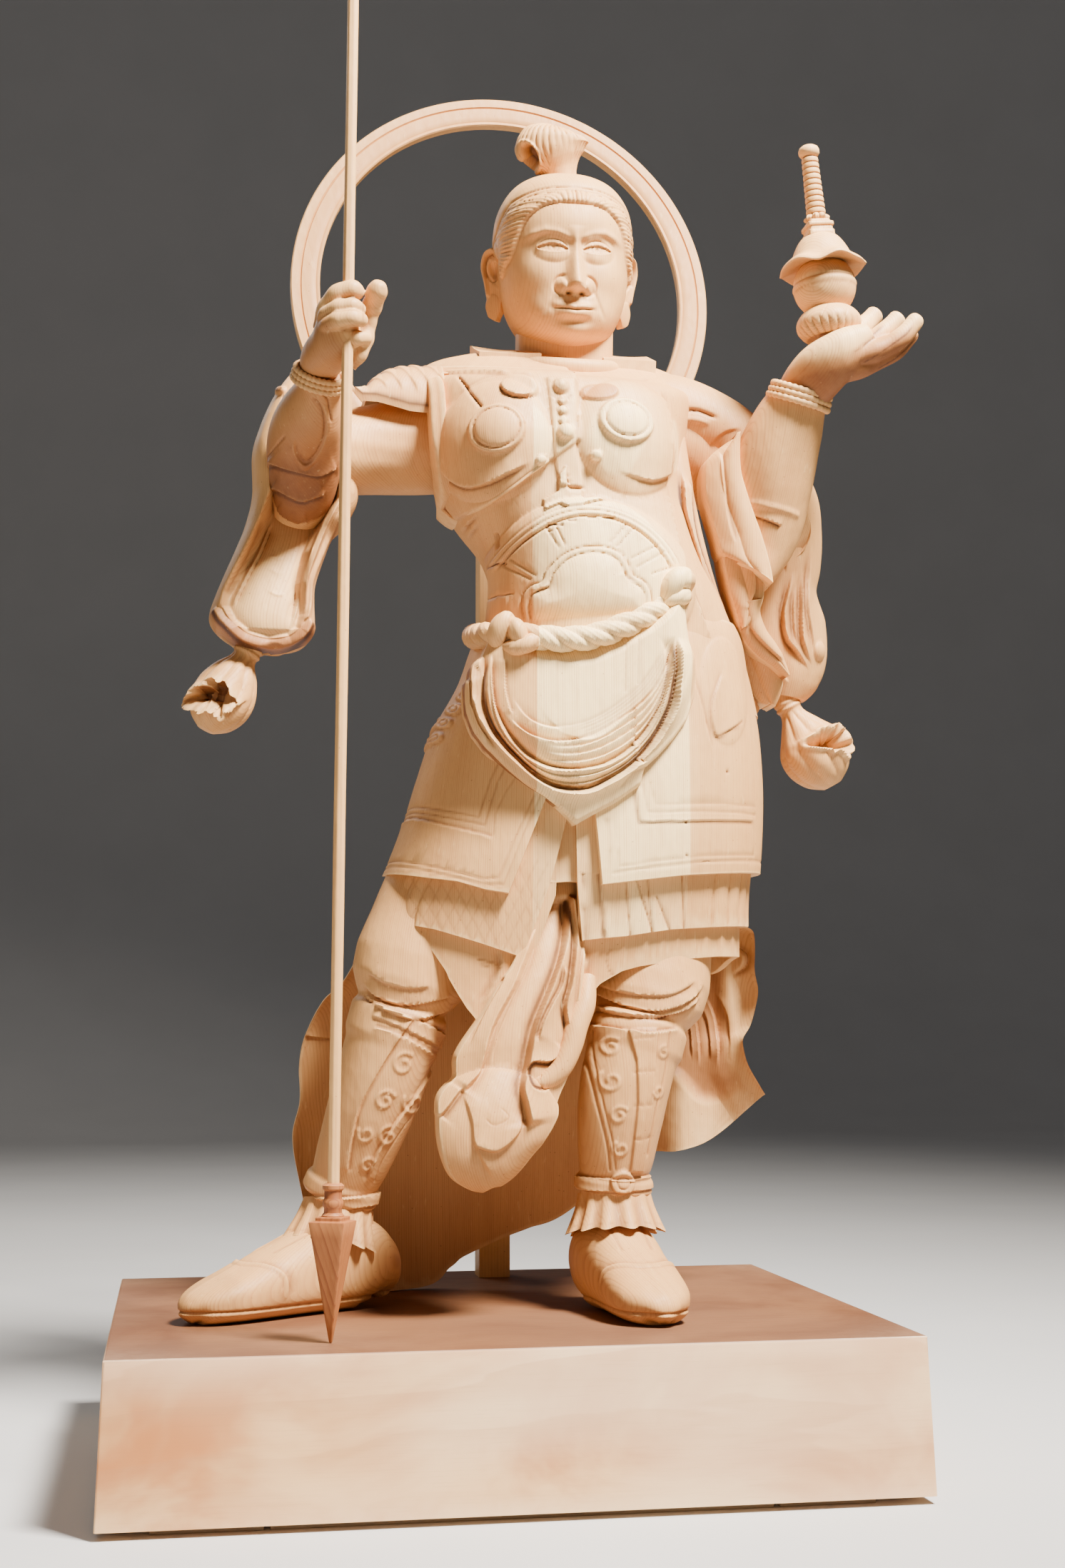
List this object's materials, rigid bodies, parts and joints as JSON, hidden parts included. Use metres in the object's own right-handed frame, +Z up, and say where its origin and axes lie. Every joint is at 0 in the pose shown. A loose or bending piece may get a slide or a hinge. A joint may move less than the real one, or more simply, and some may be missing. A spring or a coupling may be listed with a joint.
{
  "type": "lokapala figure",
  "caption": "Carved wooden guardian king with halo ring, spear and pagoda, standing on a plain block plinth.",
  "frame": {"origin": "middle of the underside of the middle base board, under the centre of the plinth", "axes": "+Z up; the figure looks along -Y; +X is on the viewer's right, the side of the open hand"},
  "size_m": [0.6041, 0.425, 1.2195],
  "materials": {
    "hinoki": "unpainted, cut with fine chisel marks",
    "pale_hinoki": "unpainted, planed",
    "reddish_hinoki": "unpainted, knife cut",
    "plinth_wood": "unpainted, planed, blotchy",
    "plywood": "raw sawn edge"
  },
  "bodies": {
    "root": {"figure": "hinoki", "halo_ring": "hinoki", "halo_post": "pale_hinoki", "spear_shaft": "pale_hinoki", "spear_spike": "reddish_hinoki", "spear_head": "reddish_hinoki", "pagoda": "hinoki", "plinth": "plinth_wood", "base_board_left": "plywood", "base_board_middle": "plywood", "base_board_right": "plywood"}
  },
  "joints": []
}
